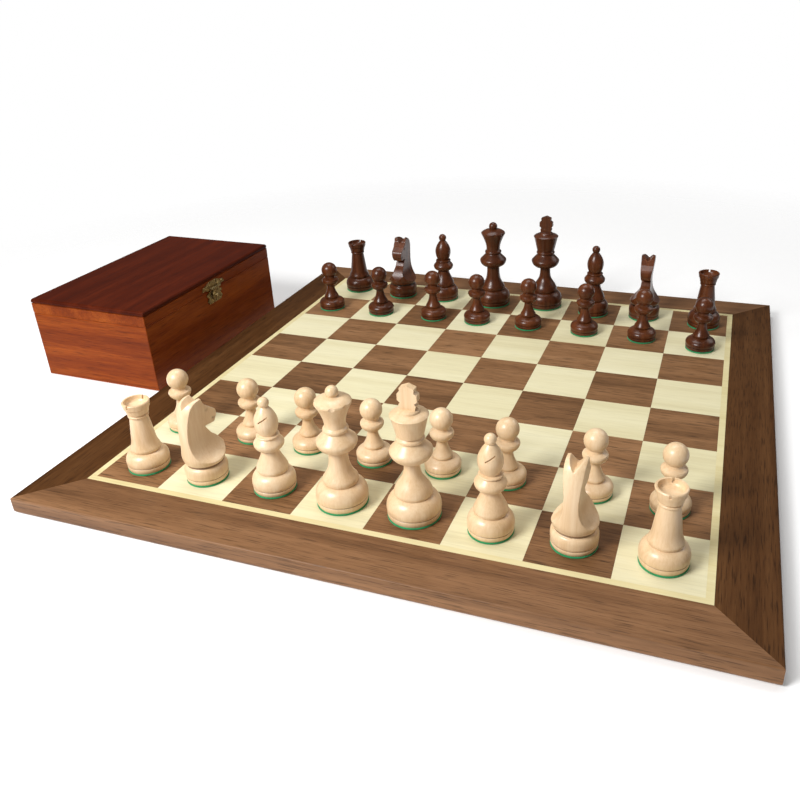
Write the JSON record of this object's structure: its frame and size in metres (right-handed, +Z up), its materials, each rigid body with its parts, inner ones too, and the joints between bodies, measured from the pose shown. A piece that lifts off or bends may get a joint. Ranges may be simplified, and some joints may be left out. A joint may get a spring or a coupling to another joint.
{
  "type": "chess set with board",
  "caption": "Wooden chess set: inlaid board in a mitred walnut frame, turned pieces set out to play, and a hinged storage box with a brass clasp.",
  "frame": {"origin": "centre of the board's underside, on the table", "axes": "+X along the white player's back rank from left to right, +Y from the white player to the black player, +Z up"},
  "size_m": [0.6165, 0.477, 0.1035],
  "materials": {
    "boxwood": "satin lacquer",
    "dark_wood": "gloss lacquer over dark stain",
    "walnut": "satin lacquer",
    "maple": "satin lacquer",
    "fibreboard": "raw",
    "mahogany": "satin varnish",
    "felt": "short nap",
    "antique_brass": "darkened"
  },
  "bodies": {
    "board": {"board_core": "fibreboard", "backing_veneer": "walnut", "frame_rail_front": "walnut", "frame_rail_back": "walnut", "frame_rail_left": "walnut", "frame_rail_right": "walnut", "inlay_strips": "maple", "dark_squares": "walnut", "light_squares": "maple"},
    "box_case": {"case_floor": "mahogany", "case_lining": "felt", "case_wall_front": "mahogany", "case_wall_back": "mahogany", "case_wall_left": "mahogany", "case_wall_right": "mahogany", "hinge_case_leaves": "antique_brass", "hinge_pins": "antique_brass", "clasp_case_plate": "antique_brass", "case_screws": "antique_brass"},
    "box_lid": {"lid_panel": "mahogany", "lid_rim": "mahogany", "hinge_lid_leaves": "antique_brass", "clasp_lid_plate": "antique_brass", "hasp_pin": "antique_brass", "lid_screws": "antique_brass"},
    "hasp": {"clasp_hasp": "antique_brass"},
    "white_rook_a": {"white_rook_a": "boxwood"},
    "white_rook_h": {"white_rook_h": "boxwood"},
    "white_knight_b": {"white_knight_b": "boxwood"},
    "white_knight_g": {"white_knight_g": "boxwood"},
    "white_bishop_c": {"white_bishop_c": "boxwood"},
    "white_bishop_f": {"white_bishop_f": "boxwood"},
    "white_queen": {"white_queen": "boxwood"},
    "white_king": {"white_king": "boxwood"},
    "white_pawn_a": {"white_pawn_a": "boxwood"},
    "white_pawn_b": {"white_pawn_b": "boxwood"},
    "white_pawn_c": {"white_pawn_c": "boxwood"},
    "white_pawn_d": {"white_pawn_d": "boxwood"},
    "white_pawn_e": {"white_pawn_e": "boxwood"},
    "white_pawn_f": {"white_pawn_f": "boxwood"},
    "white_pawn_g": {"white_pawn_g": "boxwood"},
    "white_pawn_h": {"white_pawn_h": "boxwood"},
    "black_rook_a": {"black_rook_a": "dark_wood"},
    "black_rook_h": {"black_rook_h": "dark_wood"},
    "black_knight_b": {"black_knight_b": "dark_wood"},
    "black_knight_g": {"black_knight_g": "dark_wood"},
    "black_bishop_c": {"black_bishop_c": "dark_wood"},
    "black_bishop_f": {"black_bishop_f": "dark_wood"},
    "black_queen": {"black_queen": "dark_wood"},
    "black_king": {"black_king": "dark_wood"},
    "black_pawn_a": {"black_pawn_a": "dark_wood"},
    "black_pawn_b": {"black_pawn_b": "dark_wood"},
    "black_pawn_c": {"black_pawn_c": "dark_wood"},
    "black_pawn_d": {"black_pawn_d": "dark_wood"},
    "black_pawn_e": {"black_pawn_e": "dark_wood"},
    "black_pawn_f": {"black_pawn_f": "dark_wood"},
    "black_pawn_g": {"black_pawn_g": "dark_wood"},
    "black_pawn_h": {"black_pawn_h": "dark_wood"}
  },
  "joints": [
    {"name": "lid_hinge", "type": "hinge", "parent": "box_case", "child": "box_lid", "pos_m": [-0.37509, 0.03447, 0.059], "axis": [-0.0175, -0.9998, 0], "range_deg": [0, 105]},
    {"name": "hasp_hinge", "type": "hinge", "parent": "box_lid", "child": "hasp", "pos_m": [-0.25131, 0.03231, 0.0606], "axis": [-0.0175, -0.9998, 0], "range_deg": [0, 110]},
    {"name": "box_lift", "type": "slide", "parent": "board", "child": "box_case", "axis": [0, 0, 1], "range_m": [0, 0.12]},
    {"name": "white_rook_a_lift", "type": "slide", "parent": "board", "child": "white_rook_a", "axis": [0, 0, 1], "range_m": [0, 0.11]},
    {"name": "white_rook_h_lift", "type": "slide", "parent": "board", "child": "white_rook_h", "axis": [0, 0, 1], "range_m": [0, 0.11]},
    {"name": "white_knight_b_lift", "type": "slide", "parent": "board", "child": "white_knight_b", "axis": [0, 0, 1], "range_m": [0, 0.11]},
    {"name": "white_knight_g_lift", "type": "slide", "parent": "board", "child": "white_knight_g", "axis": [0, 0, 1], "range_m": [0, 0.11]},
    {"name": "white_bishop_c_lift", "type": "slide", "parent": "board", "child": "white_bishop_c", "axis": [0, 0, 1], "range_m": [0, 0.11]},
    {"name": "white_bishop_f_lift", "type": "slide", "parent": "board", "child": "white_bishop_f", "axis": [0, 0, 1], "range_m": [0, 0.11]},
    {"name": "white_queen_lift", "type": "slide", "parent": "board", "child": "white_queen", "axis": [0, 0, 1], "range_m": [0, 0.11]},
    {"name": "white_king_lift", "type": "slide", "parent": "board", "child": "white_king", "axis": [0, 0, 1], "range_m": [0, 0.11]},
    {"name": "white_pawn_a_lift", "type": "slide", "parent": "board", "child": "white_pawn_a", "axis": [0, 0, 1], "range_m": [0, 0.11]},
    {"name": "white_pawn_b_lift", "type": "slide", "parent": "board", "child": "white_pawn_b", "axis": [0, 0, 1], "range_m": [0, 0.11]},
    {"name": "white_pawn_c_lift", "type": "slide", "parent": "board", "child": "white_pawn_c", "axis": [0, 0, 1], "range_m": [0, 0.11]},
    {"name": "white_pawn_d_lift", "type": "slide", "parent": "board", "child": "white_pawn_d", "axis": [0, 0, 1], "range_m": [0, 0.11]},
    {"name": "white_pawn_e_lift", "type": "slide", "parent": "board", "child": "white_pawn_e", "axis": [0, 0, 1], "range_m": [0, 0.11]},
    {"name": "white_pawn_f_lift", "type": "slide", "parent": "board", "child": "white_pawn_f", "axis": [0, 0, 1], "range_m": [0, 0.11]},
    {"name": "white_pawn_g_lift", "type": "slide", "parent": "board", "child": "white_pawn_g", "axis": [0, 0, 1], "range_m": [0, 0.11]},
    {"name": "white_pawn_h_lift", "type": "slide", "parent": "board", "child": "white_pawn_h", "axis": [0, 0, 1], "range_m": [0, 0.11]},
    {"name": "black_rook_a_lift", "type": "slide", "parent": "board", "child": "black_rook_a", "axis": [0, 0, 1], "range_m": [0, 0.11]},
    {"name": "black_rook_h_lift", "type": "slide", "parent": "board", "child": "black_rook_h", "axis": [0, 0, 1], "range_m": [0, 0.11]},
    {"name": "black_knight_b_lift", "type": "slide", "parent": "board", "child": "black_knight_b", "axis": [0, 0, 1], "range_m": [0, 0.11]},
    {"name": "black_knight_g_lift", "type": "slide", "parent": "board", "child": "black_knight_g", "axis": [0, 0, 1], "range_m": [0, 0.11]},
    {"name": "black_bishop_c_lift", "type": "slide", "parent": "board", "child": "black_bishop_c", "axis": [0, 0, 1], "range_m": [0, 0.11]},
    {"name": "black_bishop_f_lift", "type": "slide", "parent": "board", "child": "black_bishop_f", "axis": [0, 0, 1], "range_m": [0, 0.11]},
    {"name": "black_queen_lift", "type": "slide", "parent": "board", "child": "black_queen", "axis": [0, 0, 1], "range_m": [0, 0.11]},
    {"name": "black_king_lift", "type": "slide", "parent": "board", "child": "black_king", "axis": [0, 0, 1], "range_m": [0, 0.11]},
    {"name": "black_pawn_a_lift", "type": "slide", "parent": "board", "child": "black_pawn_a", "axis": [0, 0, 1], "range_m": [0, 0.11]},
    {"name": "black_pawn_b_lift", "type": "slide", "parent": "board", "child": "black_pawn_b", "axis": [0, 0, 1], "range_m": [0, 0.11]},
    {"name": "black_pawn_c_lift", "type": "slide", "parent": "board", "child": "black_pawn_c", "axis": [0, 0, 1], "range_m": [0, 0.11]},
    {"name": "black_pawn_d_lift", "type": "slide", "parent": "board", "child": "black_pawn_d", "axis": [0, 0, 1], "range_m": [0, 0.11]},
    {"name": "black_pawn_e_lift", "type": "slide", "parent": "board", "child": "black_pawn_e", "axis": [0, 0, 1], "range_m": [0, 0.11]},
    {"name": "black_pawn_f_lift", "type": "slide", "parent": "board", "child": "black_pawn_f", "axis": [0, 0, 1], "range_m": [0, 0.11]},
    {"name": "black_pawn_g_lift", "type": "slide", "parent": "board", "child": "black_pawn_g", "axis": [0, 0, 1], "range_m": [0, 0.11]},
    {"name": "black_pawn_h_lift", "type": "slide", "parent": "board", "child": "black_pawn_h", "axis": [0, 0, 1], "range_m": [0, 0.11]}
  ]
}
